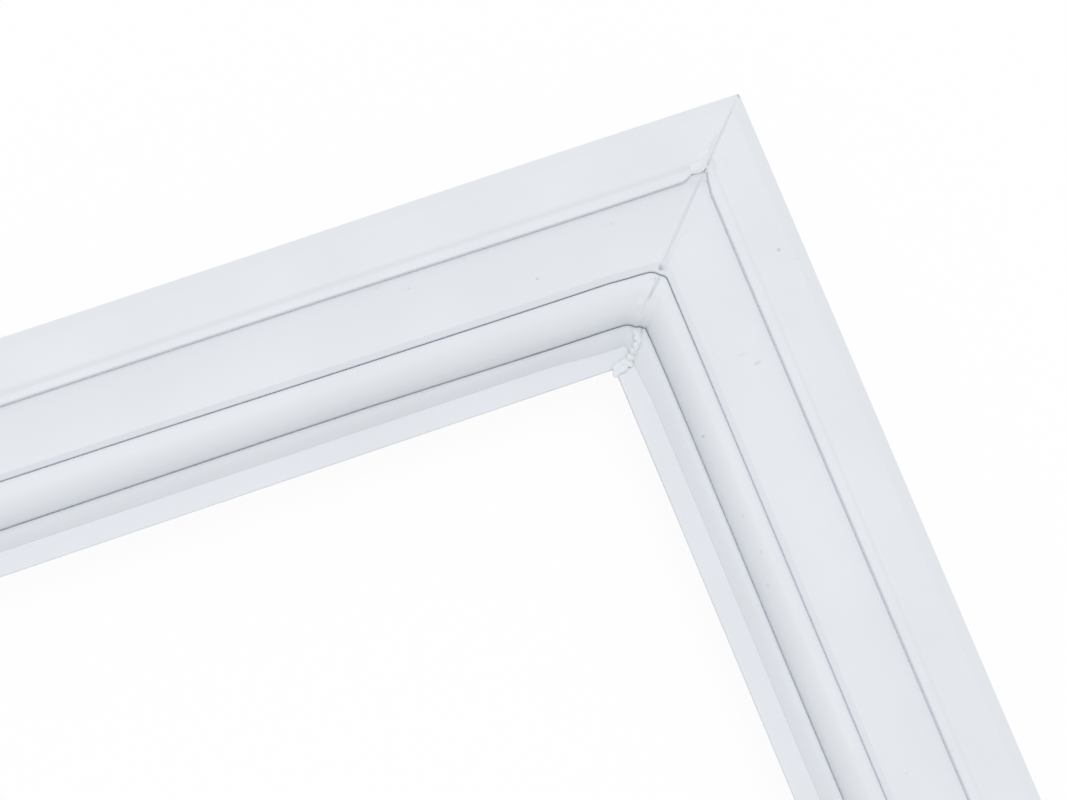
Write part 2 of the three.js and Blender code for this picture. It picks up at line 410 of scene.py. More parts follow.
@dataclass
class Weld:
    """A mitred corner weld. Places are u, across the profile, and t, the distance from the mitre in
    millimetres, which is negative on the leg that arrives and positive on the leg that leaves."""

    section: ProfileSection
    roll_radius: float = 3.0
    mitre_radius: float = 0.2
    lip_radius: float = 0.6
    reach: float = 8.0
    ridge_height: float = 0.1
    ridge_half_width: float = 0.3
    ring_steps: Sequence[float] = (0.15, 0.3, 0.6, 1.0, 1.5, 2.2, 3.2, 5.0, 8.0)

    def ring_distances(self) -> list[float]:
        """Distances from the mitre at which the leg has a ring of points."""
        return list(self.ring_steps)

    def place(self, u: float, h: float, t: float, facing: float) -> tuple[float, float, float]:
        """Put a point of a leg in its place beside the corner: its distances from the frame's
        corner along and across the leg, and its height. The surface faces up from -1 to 1."""
        along, across = self._bend(u, abs(t))
        lift = self.ridge_height * bump(t, 0.0, self.ridge_half_width)
        return along, across, h + lift * max(facing, 0.0)

    def _radius(self, u: float) -> float:
        """Corner radius that the line at u follows round the frame."""
        section = self.section
        crease = section.crease_u
        rise = smooth_step(u, crease - section.band_width / 2, crease)
        fall = min(max((u - section.roll_end_u) / (section.lip_u - section.roll_end_u), 0.0), 1.0)
        rounded = self.mitre_radius + (self.roll_radius - self.mitre_radius) * rise
        return rounded + (self.lip_radius - rounded) * fall

    def _bend(self, u: float, distance: float) -> Spot:
        """Carry a point of a leg round the corner, to its distances along and across the leg."""
        radius = self._radius(u)
        start = radius * (1 - math.sqrt(0.5))
        along = distance
        if distance < self.reach:
            along = start + distance * (1 - start / self.reach)
        rest = max(radius - along, 0.0)
        return u + along, u + radius - math.sqrt(radius * radius - rest * rest)


@dataclass
class ShownWeld(Weld):
    """The corner that is seen closely, with its ridges, grooves, pinched roll and pinhole."""

    fine_step: float = 0.12
    fine_reach: float = 1.3
    close_step: float = 0.22
    close_reach: float = 5.4
    medium_step: float = 0.7
    medium_reach: float = 12.0
    growth: float = 1.35
    far_reach: float = 150.0
    least_facing: float = 0.2
    drifts: Sequence[Drift] = (
        Drift(0.0, 11.0, ((-140.0, 0.6), (-25.0, 0.0))),
        Drift(12.7, 1.2, (
            (-100.0, 0.0), (-19.0, 0.33), (-4.2, 0.3), (-3.6, 0.1), (-2.7, -0.6), (0.0, -0.7),
            (2.1, -0.25), (4.2, 0.1), (22.0, 0.16), (100.0, 0.05),
        )),
        Drift(26.1, 4.0, (
            (-140.0, -0.85), (-12.0, 0.1), (-5.4, 0.35), (-1.2, 0.5), (0.0, 0.55), (1.5, 0.25),
            (8.0, 0.28), (70.0, 0.3),
        )),
        Drift(32.6, 4.6, (
            (-70.0, 0.1), (-8.0, 0.85), (0.0, 0.95), (1.2, 0.4), (2.4, -0.1), (6.0, -0.2),
            (15.0, -0.3), (80.0, -0.1),
        )),
        Drift(36.1, 2.4, ((-16.0, 0.0), (-5.0, 0.6), (2.5, 0.65), (14.0, 0.1), (40.0, 0.0))),
    )
    gaps: Sequence[Closed] = (
        Closed(12.6, 12.95, ((-4.6, 9.25), (-3.0, 9.7), (0.2, 9.75), (2.4, 9.25))),
        Closed(25.9, 26.7, (
            (-140.0, 7.0), (-30.0, 6.8), (-3.0, 6.4), (3.0, 6.7), (12.0, 7.05), (30.0, 7.2),
        )),
        Closed(32.5, 32.9, (
            (-140.0, 2.6), (-30.0, 2.6), (-14.0, 2.35), (1.0, 2.5), (8.0, 2.6), (30.0, 2.72),
        )),
    )
    lines: Sequence[WeldLine] = tuple(WeldLine(*row) for row in (
        (((0.3, 0.3),), 0.6, -0.4),
        (((0.8, 0.8), (4.0, 4.0), (8.5, 8.4), (11.6, 11.6)), 0.28, -0.15, -0.32),
        (((2.6, 2.3), (9.4, 8.7)), 0.35, 0.08, 0.11),
        (((13.2, 12.9), (14.7, 12.8)), 1.9, 0.6),
        (((35.2, 37.2), (35.8, 38.2)), 2.6, 0.4),
        (((7.6, 6.6), (9.6, 8.4), (11.4, 10.7)), 0.26, -0.1, -0.16),
        (((15.6, 9.2),), 2.6, 0.1),
        (((8.7, 11.7),), 1.5, 0.11),
        (((10.5, 10.8), (10.2, 11.6), (10.7, 12.6)), 0.3, -0.22),
        (((13.3, 13.3), (20.3, 20.3), (26.6, 26.5)), 0.26, -0.22),
        (((14.8, 14.0), (20.8, 19.8), (26.6, 25.7)), 0.5, 0.07, 0.16),
        (((20.0, 20.9), (26.4, 27.1)), 0.4, 0.04, 0.16),
        (((22.0, 22.6), (26.6, 27.0)), 0.25, -0.05, -0.22),
        (((26.9, 26.7),), 0.7, -0.9),
        (((26.0, 27.0),), 0.5, 0.22),
        (((27.6, 28.2), (29.6, 30.0), (31.7, 31.7), (34.0, 34.3)), 0.3, -0.42, -0.34),
        (((28.6, 28.1), (29.4, 29.5), (31.0, 31.3), (32.6, 33.2)), 0.24, -0.3, -0.1),
        (((28.0, 27.9), (30.4, 30.4)), 0.3, 0.14, 0.04),
        (((29.3, 28.2),), 0.4, -0.2),
        (((29.0, 29.0),), 0.35, 0.16),
        (((29.9, 29.7),), 0.3, 0.14),
        (((30.7, 30.6),), 0.3, 0.1),
        (((33.3, 31.9),), 1.0, 0.36),
        (((30.4, 32.6),), 1.4, -0.12),
        (((33.3, 35.3), (33.9, 37.0)), 0.3, -0.3),
        (((35.2, 35.0), (35.4, 36.4)), 0.3, -0.3),
        (((36.9, 39.4), (37.8, 41.0)), 0.3, -0.2),
    ))

    def ring_distances(self) -> list[float]:
        """Distances from the mitre at which the leg has a ring of points."""
        zones = (
            (self.fine_reach, self.fine_step), (self.close_reach, self.close_step),
            (self.medium_reach, self.medium_step),
        )
        distances = [self.fine_step]
        while distances[-1] < self.far_reach:
            here = distances[-1]
            nexts = [here + step for reach, step in zones if here < reach]
            distances.append(nexts[0] if nexts else here * self.growth)
        return distances

    def place(self, u: float, h: float, t: float, facing: float) -> tuple[float, float, float]:
        """Put a point in its place as a plain weld does, with the drifts, gaps and lines."""
        along, across = self._bend(u, abs(t))
        shift = sum(drift.shift(u, t) for drift in self.drifts)
        for gap in self.gaps:
            h = gap.height(u, h, t)
        along, across = along + shift, across + shift
        right, top = (along, across) if t < 0 else (across, along)
        if facing > self.least_facing:
            near = [line for line in self.lines if line.near(right, top)]
            h += facing * sum(line.lift(right, top) for line in near)
        return along, across, h


@dataclass
class Leg:
    """One straight length of profile between two welds, built along +X with its outer edge on
    y = 0."""

    name: str
    length: float
    start: Weld
    end: Weld
    section: ProfileSection
    spare: float = 2.0

    def build(self, outline: Sequence[Spot], place: Matrix) -> bpy.types.Object:
        """Model the leg and put it in its place.

        Args:
            outline: The section's outside in millimetres.
            place: Where the leg stands in the part's frame.

        Returns:
            The leg, open at both mitres.
        """
        piece = self._extrude(outline)
        self._cut_mitres()
        bpy.ops.object.mode_set(mode="OBJECT")
        self._shape(piece)
        piece.matrix_world = place
        select(piece)
        bpy.ops.object.transform_apply(location=True, rotation=True, scale=True)
        return piece

    def _extrude(self, outline: Sequence[Spot]) -> bpy.types.Object:
        """Lay the section out and extrude it along the leg."""
        piece = filled_outline([Vector((-self.spare, -u, h)) for u, h in outline])
        piece.name = self.name
        bpy.ops.object.mode_set(mode="EDIT")
        bpy.ops.mesh.select_all(action="SELECT")
        reach = (self.length + 2 * self.spare) * MM
        bpy.ops.mesh.extrude_region_move(TRANSFORM_OT_translate={"value": (reach, 0, 0)})
        return piece

    def _cut_mitres(self) -> None:
        """Cut both ends to their mitres and add a ring of points at each weld distance."""
        for weld, foot, toward in ((self.start, 0.0, 1.0), (self.end, self.length, -1.0)):
            normal = Vector((toward, 1.0, 0.0)).normalized()
            self._bisect(foot, normal, clear=True)
            for distance in weld.ring_distances():
                self._bisect(foot + toward * distance, normal, clear=False)

    @staticmethod
    def _bisect(foot: float, normal: Vector, clear: bool) -> None:
        """Cut the mesh by an upright plane that meets the outer edge at foot."""
        bpy.ops.mesh.select_all(action="SELECT")
        bpy.ops.mesh.bisect(
            plane_co=(foot * MM, 0, 0), plane_no=normal, use_fill=False, clear_inner=clear,
            threshold=CUT_TOLERANCE,
        )

    def _shape(self, piece: bpy.types.Object) -> None:
        """Carry every point to its place beside the nearer weld."""
        mesh = piece.data
        upward = [vertex.normal.z for vertex in mesh.vertices]
        for vertex, facing in zip(mesh.vertices, upward):
            u, h = -vertex.co.y / MM, vertex.co.z / MM
            from_start = vertex.co.x / MM - u
            from_end = self.length - vertex.co.x / MM - u
            if from_start < from_end:
                along, across, h = self.start.place(u, h, max(from_start, 0.0), facing)
            else:
                along, across, h = self.end.place(u, h, min(-from_end, -0.0), facing)
                along = self.length - along
            vertex.co = Vector((along, -across, h)) * MM


@dataclass(frozen=True)
class Drop:
    """A flattened drop of melted PVC: its centre from the frame's two outer edges, its height above
    the base, its half sizes, how far it is turned and how uneven it is."""

    right: float
    top: float
    height: float
    half_sizes: tuple[float, float, float]
    turn: float = 0.0
    rough: float = 0.22


@dataclass(frozen=True)
class Tongue:
    """A thin tongue of melted PVC. Its outline is given by distances from the frame's right and top
    outer edges, and its top by a height at each of two distances from the top edge."""

    outline: Sequence[Spot]
    heights: tuple[Spot, Spot]
    thickness: float
    crown: float
    inset: float = 0.1
    crown_shares: Spot = (0.6, 0.4)


@dataclass
class WeldFlash:
    """Melted PVC that stands out of the corner weld: a flat tongue on the face, three drops, and a
    film of drops run together across the bead and the lip."""

    name: str = "weld_flash"
    detail: int = 2
    voxel: float = 0.1
    soften_rounds: int = 12
    smooth_angle: float = 50.0
    swell_scale: float = 1.7
    swell_stride: float = 3.1
    flat: Tongue = Tongue(
        outline=(
            (15.0, 10.9), (14.7, 10.0), (13.7, 9.3), (12.5, 8.9), (11.3, 8.75), (10.4, 8.55),
            (10.0, 8.7), (10.5, 9.7), (11.2, 10.8), (11.9, 11.7), (12.5, 12.2), (13.6, 12.3),
            (14.8, 12.2), (15.1, 11.6),
        ),
        heights=((8.2, 10.84), (12.3, 10.55)), thickness=0.3, crown=0.05,
    )
    film: Sequence[Drop] = tuple(Drop(*row) for row in (
        (34.5, 35.9, 2.93, (0.55, 0.95, 0.16), 0.5),
        (34.8, 37.0, 2.9, (0.65, 1.0, 0.2), 0.6),
        (35.4, 37.9, 2.5, (0.8, 0.95, 0.4), 0.6),
        (36.1, 38.6, 1.95, (0.85, 0.95, 0.5), 0.7),
        (36.9, 39.3, 1.35, (0.95, 0.95, 0.42), 0.7),
        (37.6, 40.2, 1.05, (0.8, 1.2, 0.22), 0.5),
        (38.5, 39.8, 1.05, (1.2, 0.75, 0.2), 0.3),
        (38.9, 41.0, 0.95, (1.0, 0.8, 0.2), 0.4),
        (39.9, 40.2, 0.95, (1.2, 0.85, 0.2), 0.5),
        (40.2, 41.0, 0.85, (1.1, 0.9, 0.24), 0.7),
        (40.7, 41.5, 0.75, (0.7, 0.7, 0.28), 0.8),
        (34.9, 38.0, 3.05, (0.3, 0.35, 0.2)),
        (35.9, 38.7, 2.6, (0.3, 0.35, 0.2)),
    ))
    drops: Sequence[Drop] = (
        Drop(11.75, 11.8, 10.4, (0.42, 0.42, 0.42)),
        Drop(12.05, 12.4, 10.0, (0.38, 0.45, 0.42)),
        Drop(3.0, 3.1, 10.74, (0.3, 0.3, 0.14)),
    )

    def build(self, corner: Vector, base_height: float) -> bpy.types.Object:
        """Model the tongue, the drops and the film at the frame's corner.

        Args:
            corner: The frame's outer corner in metres.
            base_height: Height of the base's underside in millimetres.

        Returns:
            One object that holds them all.
        """
        film = joined(self._balls(self.film, corner, base_height))
        self._melt(film)
        pieces = self._balls(self.drops, corner, base_height)
        pieces.append(self._tongue(self.flat, corner, base_height))
        flash = joined([film, *pieces])
        flash.name = self.name
        bpy.ops.object.shade_smooth_by_angle(angle=math.radians(self.smooth_angle))
        return flash

    def _melt(self, piece: bpy.types.Object) -> None:
        """Run the drops of a piece together and soften them."""
        select(piece)
        bpy.ops.object.modifier_add(type="REMESH")
        remesh = piece.modifiers[-1]
        remesh.mode = "VOXEL"
        remesh.voxel_size = self.voxel * MM
        bpy.ops.object.modifier_apply(modifier=remesh.name)
        bpy.ops.object.modifier_add(type="SMOOTH")
        soften = piece.modifiers[-1]
        soften.iterations = self.soften_rounds
        bpy.ops.object.modifier_apply(modifier=soften.name)

    @staticmethod
    def _tongue(tongue: Tongue, corner: Vector, base_height: float) -> bpy.types.Object:
        """Model one tongue from its outline, crowned by insets and thickened downwards."""
        (low, low_height), (high, high_height) = tongue.heights
        points = []
        for right, top in tongue.outline:
            level = low_height + (high_height - low_height) * (top - low) / (high - low)
            points.append(
                Vector((corner.x / MM - right, corner.y / MM - top, base_height + level))
            )
        piece = filled_outline(points)
        bpy.ops.object.mode_set(mode="EDIT")
        bpy.ops.mesh.select_all(action="SELECT")
        bpy.ops.mesh.normals_make_consistent(inside=False)
        for share in tongue.crown_shares:
            bpy.ops.mesh.inset(thickness=tongue.inset * MM)
            bpy.ops.transform.translate(value=(0, 0, tongue.crown * share * MM))
        bpy.ops.mesh.select_all(action="DESELECT")
        bpy.ops.mesh.select_mode(type="EDGE")
        bpy.ops.mesh.select_non_manifold()
        down = (0, 0, -tongue.thickness * MM)
        bpy.ops.mesh.extrude_region_move(TRANSFORM_OT_translate={"value": down})
        bpy.ops.mesh.edge_face_add()
        bpy.ops.mesh.select_all(action="SELECT")
        bpy.ops.mesh.normals_make_consistent(inside=False)
        bpy.ops.mesh.select_mode(type="VERT")
        bpy.ops.object.mode_set(mode="OBJECT")
        return piece

    def _balls(
        self, drops: Sequence[Drop], corner: Vector, base_height: float
    ) -> list[bpy.types.Object]:
        """Model each drop of a list, uneven in its own way."""
        return [self._drop(index, drop, corner, base_height) for index, drop in enumerate(drops)]

    def _drop(
        self, index: int, drop: Drop, corner: Vector, base_height: float
    ) -> bpy.types.Object:
        """Model one drop from a ball that is flattened, turned and made uneven."""
        bpy.ops.object.select_all(action="DESELECT")
        bpy.ops.mesh.primitive_ico_sphere_add(subdivisions=self.detail, radius=MM)
        piece = bpy.context.object
        for vertex in piece.data.vertices:
            direction = vertex.co.normalized()
            shift = Vector((index * self.swell_stride, 0.0, 0.0))
            uneven = noise.noise(direction * self.swell_scale + shift)
            vertex.co = vertex.co * (1.0 + drop.rough * uneven)
        middle = Vector((corner.x, corner.y, 0)) + Vector(
            (-drop.right, -drop.top, base_height + drop.height)
        ) * MM
        sizes = Matrix.Diagonal((*drop.half_sizes, 1.0))
        turned = Matrix.Rotation(drop.turn, 4, "Z")
        piece.matrix_world = Matrix.Translation(middle) @ turned @ sizes
        select(piece)
        bpy.ops.object.transform_apply(location=True, rotation=True, scale=True)
        return piece


@dataclass
class GasketFrame:
    """The welded PVC frame: four legs, four corner welds and the flash of the one that shows."""

    section: ProfileSection = field(default_factory=ProfileSection)
    node: str = "gasket_profile"
    merge_distance: float = 1e-6
    smooth_angle: float = 40.0

    def build(self) -> list[bpy.types.Object]:
        """Model the frame and its weld flash, which ride on the part."""
        low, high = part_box(self.node)
        half = Vector(((high.x - low.x) / 2, (high.y - low.y) / 2, 0.0))
        body = self._join(self._legs(half))
        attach(body, BODY)
        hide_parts(self.node)
        flash = WeldFlash().build(half, self.section.dart_depth)
        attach(flash, BODY)
        return [body, flash]

    def _legs(self, half: Vector) -> list[bpy.types.Object]:
        """Model the four legs, clockwise from the one along the top."""
        outline = self.section.outline()
        plain = Weld(self.section)
        shown = ShownWeld(self.section)
        lift = self.section.dart_depth * MM
        width, length = 2 * half.x / MM, 2 * half.y / MM
        plan = (
            ("leg_top", width, plain, shown, (-half.x, half.y), 0.0),
            ("leg_right", length, shown, plain, (half.x, half.y), -90.0),
            ("leg_bottom", width, plain, plain, (half.x, -half.y), 180.0),
            ("leg_left", length, plain, plain, (-half.x, -half.y), 90.0),
        )
        legs = []
        for name, reach, start, end, spot, turn in plan:
            place = Matrix.Translation((*spot, lift)) @ Matrix.Rotation(math.radians(turn), 4, "Z")
            legs.append(Leg(name, reach, start, end, self.section).build(outline, place))
        return legs

    def _join(self, legs: Sequence[bpy.types.Object]) -> bpy.types.Object:
        """Weld the legs into one closed frame."""
        body = joined(legs)
        body.name = "welded_frame"
        bpy.ops.object.mode_set(mode="EDIT")
        bpy.ops.mesh.select_all(action="SELECT")
        bpy.ops.mesh.remove_doubles(threshold=self.merge_distance)
        bpy.ops.mesh.normals_make_consistent(inside=False)
        bpy.ops.object.mode_set(mode="OBJECT")
        bpy.ops.object.shade_smooth_by_angle(angle=math.radians(self.smooth_angle))
        return body


class NodeSketch:
    """A short way to add and join nodes in one tree."""

    def __init__(self, tree: bpy.types.NodeTree) -> None:
        """Keep the tree that the nodes go into."""
        self.tree = tree

    def add(self, kind: str, **inputs: object) -> bpy.types.Node:
        """Add a node.

        Args:
            kind: The node's type.
            **inputs: Properties of the node, or its inputs by name with _ for a space. A socket
                given as a value is linked.

        Returns:
            The new node.
        """
        node = self.tree.nodes.new(kind)
        for key, value in inputs.items():
            if hasattr(node, key) and not key.startswith("in_"):
                setattr(node, key, value)
                continue
            name = key.removeprefix("in_").replace("_", " ")
            socket = node.inputs[int(name)] if name.isdigit() else node.inputs[name]
            self.feed(socket, value)
        return node

    def feed(self, socket: bpy.types.NodeSocket, value: object) -> None:
        """Link an input to a socket, or set it to a value."""
        if isinstance(value, bpy.types.NodeSocket):
            self.tree.links.new(value, socket)
        else:
            socket.default_value = value

    def math(self, operation: str, *values: object, clamp: bool = False) -> bpy.types.NodeSocket:
        """Add a math node and return its output."""
        node = self.add("ShaderNodeMath", operation=operation, use_clamp=clamp)
        for socket, value in zip(node.inputs, values):
            self.feed(socket, value)
        return node.outputs[0]

    def blend(
        self, share: bpy.types.NodeSocket, first: object, second: object
    ) -> bpy.types.NodeSocket:
        """Mix two colours by a share and return the colour."""
        node = self.add("ShaderNodeMix", data_type="RGBA")
        for index, value in ((0, share), (6, first), (7, second)):
            self.feed(node.inputs[index], value)
        return node.outputs[2]

    def ramp(self, value: bpy.types.NodeSocket, low: float, high: float) -> bpy.types.NodeSocket:
        """Rise smoothly from 0 at low to 1 at high."""
        node = self.add(
            "ShaderNodeMapRange", interpolation_type="SMOOTHSTEP", in_Value=value,
            in_From_Min=low, in_From_Max=high,
        )
        return node.outputs[0]


def effect_group(
    name: str, inputs: Sequence[tuple[str, str, object]], outputs: Sequence[tuple[str, str]],
    fill: Callable[[NodeSketch, bpy.types.Node, bpy.types.Node], None],
) -> bpy.types.NodeTree:
    """Make a shader node group.

    Args:
        name: The group's name.
        inputs: Name, socket type and default of each input.
        outputs: Name and socket type of each output.
        fill: Adds the nodes between the group's input and output nodes.

    Returns:
        The group.
    """
    tree = bpy.data.node_groups.new(name, "ShaderNodeTree")
    for label, kind, default in inputs:
        socket = tree.interface.new_socket(label, in_out="INPUT", socket_type=kind)
        if default is not None:
            socket.default_value = default
    for label, kind in outputs:
        tree.interface.new_socket(label, in_out="OUTPUT", socket_type=kind)
    sketch = NodeSketch(tree)
    fill(sketch, sketch.add("NodeGroupInput"), sketch.add("NodeGroupOutput"))
    return tree


def _fill_grain(sketch: NodeSketch, start: bpy.types.Node, end: bpy.types.Node) -> None:
    """Fine uneven skin: two sizes of noise added to one height."""
    place = start.outputs["Vector"]
    fine = sketch.add("ShaderNodeTexNoise", in_Vector=place, in_Scale=2600.0, in_Detail=3.0)
    broad = sketch.add("ShaderNodeTexNoise", in_Vector=place, in_Scale=260.0, in_Detail=2.0)
    fine_part = sketch.math("MULTIPLY", fine.outputs["Fac"], start.outputs["Fine"])
    broad_part = sketch.math("MULTIPLY", broad.outputs["Fac"], start.outputs["Broad"])
    sketch.feed(end.inputs["Height"], sketch.math("ADD", fine_part, broad_part))


def _fill_specks(sketch: NodeSketch, start: bpy.types.Node, end: bpy.types.Node) -> None:
    """Sparse tiny specks: the middles of a few cells."""
    cells = sketch.add(
        "ShaderNodeTexVoronoi", in_Vector=start.outputs["Vector"], in_Scale=start.outputs["Scale"]
    )
    pick = sketch.add("ShaderNodeSeparateColor", in_Color=cells.outputs["Color"])
    chosen = sketch.math("LESS_THAN", pick.outputs[0], start.outputs["Share"])
    near = sketch.math("SUBTRACT", 1.0, sketch.ramp(cells.outputs["Distance"], 0.03, 0.09))
    sketch.feed(end.inputs["Mask"], sketch.math("MULTIPLY", chosen, near))


def _fill_dark_spot(sketch: NodeSketch, start: bpy.types.Node, end: bpy.types.Node) -> None:
    """A faint uneven mark round one place."""
    place = start.outputs["Vector"]
    kind = "ShaderNodeVectorMath"
    offset = sketch.add(kind, operation="SUBTRACT", in_0=place, in_1=start.outputs["Centre"])
    stretch = sketch.add(
        kind, operation="DIVIDE", in_0=offset.outputs[0], in_1=start.outputs["Size"]
    )
    away = sketch.add(kind, operation="LENGTH", in_0=stretch.outputs[0])
    broken = sketch.add("ShaderNodeTexNoise", in_Vector=place, in_Scale=1400.0, in_Detail=2.0)
    wander = sketch.math("SUBTRACT", broken.outputs["Fac"], 0.5)
    edge = sketch.math("ADD", away.outputs["Value"], wander)
    mask = sketch.math("SUBTRACT", 1.0, sketch.ramp(edge, 0.45, 1.0))
    sketch.feed(end.inputs["Mask"], mask)


@dataclass
class Effects:
    """The node groups that more than one finish uses."""

    grain: bpy.types.NodeTree
    specks: bpy.types.NodeTree
    dark_spot: bpy.types.NodeTree

    @classmethod
    def make(cls) -> "Effects":
        """Build each group once."""
        number, vector = "NodeSocketFloat", "NodeSocketVector"
        return cls(
            effect_group(
                "skin_grain",
                [("Vector", vector, None), ("Fine", number, 0.2), ("Broad", number, 0.8)],
                [("Height", number)], _fill_grain,
            ),
            effect_group(
                "tiny_specks",
                [("Vector", vector, None), ("Scale", number, 90.0), ("Share", number, 0.03)],
                [("Mask", number)], _fill_specks,
            ),
            effect_group(
                "faint_dark_spot",
                [
                    ("Vector", vector, None), ("Centre", vector, None),
                    ("Size", vector, (0.002, 0.002, 0.01)),
                ],
                [("Mask", number)], _fill_dark_spot,
            ),
        )


@dataclass(frozen=True)
class DarkSpot:
    """A faint mark on the frame: its distances from the right and top outer edges and its half
    size, in millimetres, and how dark it is."""

    right: float
    top: float
    half_size: Spot
    strength: float


def new_material(name: str) -> tuple[bpy.types.Material, NodeSketch]:
    """Make an empty node material and a sketch of its tree."""
    material = bpy.data.materials.new(name)
    material.use_nodes = True
    material.node_tree.nodes.clear()
    return material, NodeSketch(material.node_tree)


def grained_surface(
    sketch: NodeSketch, colour: object, roughness: object, height: bpy.types.NodeSocket,
    strength: float, depth: float,
) -> bpy.types.Node:
    """Add the shader that ends a finish, with a grain that is given by its height."""
    relief = sketch.add(
        "ShaderNodeBump", in_Strength=strength, in_Distance=depth, in_Height=height
    )
    shader = sketch.add(
        "ShaderNodeBsdfPrincipled", in_Base_Color=colour, in_Roughness=roughness,
        in_Normal=relief.outputs["Normal"],
    )
    sketch.add("ShaderNodeOutputMaterial", in_Surface=shader.outputs["BSDF"])
    return shader


@dataclass(frozen=True)
class PvcFinish:
    """Soft extruded PVC: slightly bluish white with a low sheen, a few specks, faint smudges, and
    painted shade in the weld's pinhole and in the dent at its outer tip.
    """

    name: str = Slot.PVC.value
    colour: Colour = (0.775, 0.805, 0.85)
    shade_colour: Colour = (0.735, 0.765, 0.805)
    mark_colour: Colour = (0.36, 0.38, 0.40)
    roughness: float = 0.42
    roughness_spread: float = 0.1
    sheen: float = 0.4
    refraction: float = 1.5
    patch_scale: float = 38.0
    patch_share: float = 0.35
    grain_strength: float = 0.35
    grain_depth: float = 0.00006
    specks: float = 0.12
    speck_scale: float = 210.0
    speck_share: float = 0.03
    mark_height: float = 0.016
    mark_depth: float = 0.02
    smudges_and_pit_shade: Sequence[DarkSpot] = tuple(DarkSpot(*row) for row in (
        (5.2, 31.3, (0.5, 0.5), 0.4),
        (2.6, 34.1, (0.3, 0.3), 0.15),
        (17.0, 49.9, (1.1, 0.5), 0.2),
        (19.0, 47.4, (1.3, 0.4), 0.12),
        (50.0, 21.3, (0.4, 0.35), 0.3),
        (73.7, 15.5, (0.35, 0.3), 0.18),
        (79.5, 13.6, (0.3, 0.3), 0.14),
        (32.7, 15.9, (0.35, 0.35), 0.22),
        (31.5, 59.2, (0.3, 0.35), 0.4),
        (30.6, 76.0, (0.3, 0.5), 0.15),
        (30.3, 83.6, (0.3, 0.6), 0.18),
        (31.3, 89.7, (0.3, 0.6), 0.18),
        (23.9, 45.4, (0.3, 0.3), 0.14),
        (21.3, 131.3, (0.4, 0.4), 0.14),
        # painted shade: darkens the pinhole of the weld where the mitre meets the crease
        (26.9, 26.7, (0.6, 0.6), 0.35),
        # painted shade: darkens the dent at the mitre's outer tip
        (0.3, 0.6, (0.35, 0.7), 0.4),
    ))

    def material(self, effects: Effects, corner: Vector) -> bpy.types.Material:
        """Build the finish.

        Args:
            effects: The shared node groups.
            corner: The frame's outer corner in metres, from which the smudges are placed.

        Returns:
            The material.
        """
        material, sketch = new_material(self.name)
        place = sketch.add("ShaderNodeTexCoord").outputs["Object"]
        cloud = sketch.add(
            "ShaderNodeTexNoise", in_Vector=place, in_Scale=self.patch_scale, in_Detail=3.0
        )
        patches = sketch.ramp(cloud.outputs["Fac"], 0.3, 0.7)
        share = sketch.math("MULTIPLY", patches, self.patch_share)
        colour = sketch.blend(share, (*self.colour, 1.0), (*self.shade_colour, 1.0))
        marks = self._marks(sketch, effects, place, corner)
        colour = sketch.blend(marks, colour, (*self.mark_colour, 1.0))
        grain = sketch.add("ShaderNodeGroup", node_tree=effects.grain, in_Vector=place)
        low = self.roughness - self.roughness_spread / 2
        roughness = sketch.math("ADD", low, sketch.math("MULTIPLY", patches, self.roughness_spread))
        shader = grained_surface(
            sketch, colour, roughness, grain.outputs["Height"], self.grain_strength,
            self.grain_depth,
        )
        shader.inputs["IOR"].default_value = self.refraction
        shader.inputs["Specular IOR Level"].default_value = self.sheen
        return material

    def _marks(
        self, sketch: NodeSketch, effects: Effects, place: bpy.types.NodeSocket, corner: Vector
    ) -> bpy.types.NodeSocket:
        """Add up the specks, the smudges and the painted shade of the weld's pits to one mask."""
        specks = sketch.add(
            "ShaderNodeGroup", node_tree=effects.specks, in_Vector=place,
            in_Scale=self.speck_scale, in_Share=self.speck_share,
        )
        total = sketch.math("MULTIPLY", specks.outputs["Mask"], self.specks)
        for dark_spot in self.smudges_and_pit_shade:
            wide, high = dark_spot.half_size
            node = sketch.add(
                "ShaderNodeGroup", node_tree=effects.dark_spot, in_Vector=place,
                in_Centre=(
                    corner.x - dark_spot.right * MM, corner.y - dark_spot.top * MM, self.mark_height
                ),
                in_Size=(wide * MM, high * MM, self.mark_depth),
            )
            part = sketch.math("MULTIPLY", node.outputs["Mask"], dark_spot.strength)
            total = sketch.math("ADD", total, part, clamp=True)
        return total


@dataclass(frozen=True)
class FerriteFinish:
    """Flexible magnet strip: dark brown, matt and slightly grainy."""

    name: str = Slot.FERRITE.value
    colour: Colour = (0.024, 0.018, 0.016)
    light_colour: Colour = (0.04, 0.032, 0.028)
    roughness: float = 0.78
    grain_strength: float = 0.5
    grain_depth: float = 0.0001
    speck_scale: float = 700.0
    speck_share: float = 0.3

    def material(self, effects: Effects) -> bpy.types.Material:
        """Build the finish from the shared node groups."""
        material, sketch = new_material(self.name)
        place = sketch.add("ShaderNodeTexCoord").outputs["Object"]
        grain = sketch.add("ShaderNodeGroup", node_tree=effects.grain, in_Vector=place)
        specks = sketch.add(
            "ShaderNodeGroup", node_tree=effects.specks, in_Vector=place,
            in_Scale=self.speck_scale, in_Share=self.speck_share,
        )
        colour = sketch.blend(
            specks.outputs["Mask"], (*self.colour, 1.0), (*self.light_colour, 1.0)
        )
        grained_surface(
            sketch, colour, self.roughness, grain.outputs["Height"], self.grain_strength,
            self.grain_depth,
        )
        return material


@dataclass
class MagnetStrips:
    """The four magnet strips inside the pocket, which keep their own solids."""

    names: Sequence[str] = (
        "magnet_strip_top", "magnet_strip_left", "magnet_strip_bottom", "magnet_strip_right",
    )

    def dress(self, finish: FerriteFinish, effects: Effects) -> None:
        """Give each strip its finish."""
        material = finish.material(effects)
        for name in self.names:
            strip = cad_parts[name]
            strip.data.materials.clear()
            strip.data.materials.append(material)
            log.info("%s keeps its solid, with the finish %s", name, finish.name)


